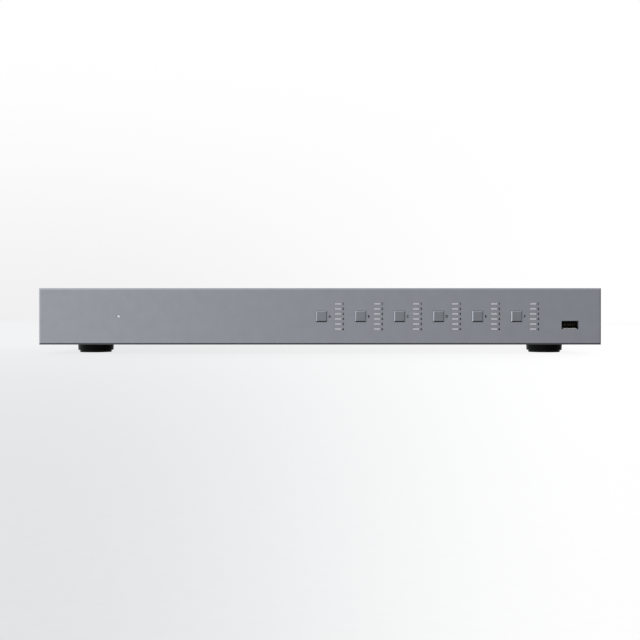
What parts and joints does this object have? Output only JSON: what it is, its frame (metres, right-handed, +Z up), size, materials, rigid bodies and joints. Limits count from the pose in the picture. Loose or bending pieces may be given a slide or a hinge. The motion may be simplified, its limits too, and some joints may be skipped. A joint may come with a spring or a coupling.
{
  "type": "video matrix switch",
  "caption": "Low wide rack-size video switch: flat metal front panel with square buttons, bars of indicator windows, status light and USB socket; sockets at the rear; round feet.",
  "frame": {"origin": "middle of the footprint, on the surface that the feet stand on", "axes": "+X to the right as seen from the front, +Y to the rear, +Z up; the front panel faces -Y"},
  "size_m": [0.44, 0.291, 0.0515],
  "materials": {
    "aluminium": "bead-blasted, clear anodised",
    "pan_paint": "fine-textured black powder coat",
    "case_paint": "fine-textured black powder coat",
    "foot_plastic": "satin",
    "rubber": "matte",
    "plated_steel": "bright plated",
    "screw_black": "black oxide",
    "brass": "satin",
    "board": "green solder mask",
    "white_plastic": "moulded",
    "chip": "moulded epoxy",
    "guide": "milky, translucent",
    "lens": "diffusing",
    "led": "clear resin on white",
    "black_plastic": "matte",
    "cable_grey": "soft",
    "sink": "black anodised",
    "green_plastic": "moulded",
    "brown_board": "phenolic",
    "ferrite": "taped coil on ferrite",
    "can": "sleeved aluminium can",
    "wire": "insulated"
  },
  "bodies": {
    "chassis": {"front_panel": "aluminium", "base_pan": "pan_paint", "top_cover": "case_paint", "rear_panel": "case_paint", "foot_front_left": "foot_plastic", "foot_front_right": "foot_plastic", "foot_rear_left": "foot_plastic", "foot_rear_right": "foot_plastic", "foot_pads": "rubber", "foot_screws": "plated_steel", "case_screws": "screw_black", "front_panel_screws": "plated_steel", "board_screws": "plated_steel", "board_pillars": "brass", "fan_screws": "screw_black", "front_board": "board", "switch_bodies": "chip", "light_guide_1": "guide", "light_guide_2": "guide", "light_guide_3": "guide", "light_guide_4": "guide", "light_guide_5": "guide", "light_guide_6": "guide", "status_lens": "lens", "indicator_leds": "led", "usb_shell": "plated_steel", "usb_tongue": "black_plastic", "ribbon_cable": "cable_grey", "ribbon_sockets": "black_plastic", "main_board": "board", "matrix_chips": "chip", "heat_sink": "sink", "video_sockets": "plated_steel", "video_tongues": "black_plastic", "network_socket": "plated_steel", "serial_socket": "green_plastic", "serial_pins": "plated_steel", "audio_jacks": "black_plastic", "mains_inlet": "black_plastic", "inlet_pins": "plated_steel", "rocker_frame": "black_plastic", "fan_frame": "black_plastic", "supply_board": "brown_board", "supply_transformer": "ferrite", "supply_capacitors": "can", "power_wires": "wire"},
    "key_1": {"button_1": "aluminium", "plunger_1": "white_plastic"},
    "key_2": {"button_2": "aluminium", "plunger_2": "white_plastic"},
    "key_3": {"button_3": "aluminium", "plunger_3": "white_plastic"},
    "key_4": {"button_4": "aluminium", "plunger_4": "white_plastic"},
    "key_5": {"button_5": "aluminium", "plunger_5": "white_plastic"},
    "key_6": {"button_6": "aluminium", "plunger_6": "white_plastic"},
    "power_rocker": {"rocker": "black_plastic"},
    "rotor": {"fan_rotor": "black_plastic"}
  },
  "joints": [
    {"name": "key_1_press", "type": "slide", "parent": "chassis", "child": "key_1", "axis": [0, 1, 0], "range_m": [0, 0.0005], "stiffness_N_per_m": 2000, "springref_m": -0.0003},
    {"name": "key_2_press", "type": "slide", "parent": "chassis", "child": "key_2", "axis": [0, 1, 0], "range_m": [0, 0.0005], "stiffness_N_per_m": 2000, "springref_m": -0.0003},
    {"name": "key_3_press", "type": "slide", "parent": "chassis", "child": "key_3", "axis": [0, 1, 0], "range_m": [0, 0.0005], "stiffness_N_per_m": 2000, "springref_m": -0.0003},
    {"name": "key_4_press", "type": "slide", "parent": "chassis", "child": "key_4", "axis": [0, 1, 0], "range_m": [0, 0.0005], "stiffness_N_per_m": 2000, "springref_m": -0.0003},
    {"name": "key_5_press", "type": "slide", "parent": "chassis", "child": "key_5", "axis": [0, 1, 0], "range_m": [0, 0.0005], "stiffness_N_per_m": 2000, "springref_m": -0.0003},
    {"name": "key_6_press", "type": "slide", "parent": "chassis", "child": "key_6", "axis": [0, 1, 0], "range_m": [0, 0.0005], "stiffness_N_per_m": 2000, "springref_m": -0.0003},
    {"name": "power_rocker_tilt", "type": "hinge", "parent": "chassis", "child": "power_rocker", "pos_m": [0.132, 0.13861, 0.0291], "axis": [1, 0, 0], "range_deg": [0, 20]},
    {"name": "fan_spin", "type": "hinge", "parent": "chassis", "child": "rotor", "pos_m": [-0.2136, -0.00939, 0.0289], "axis": [1, 0, 0], "continuous": true}
  ]
}
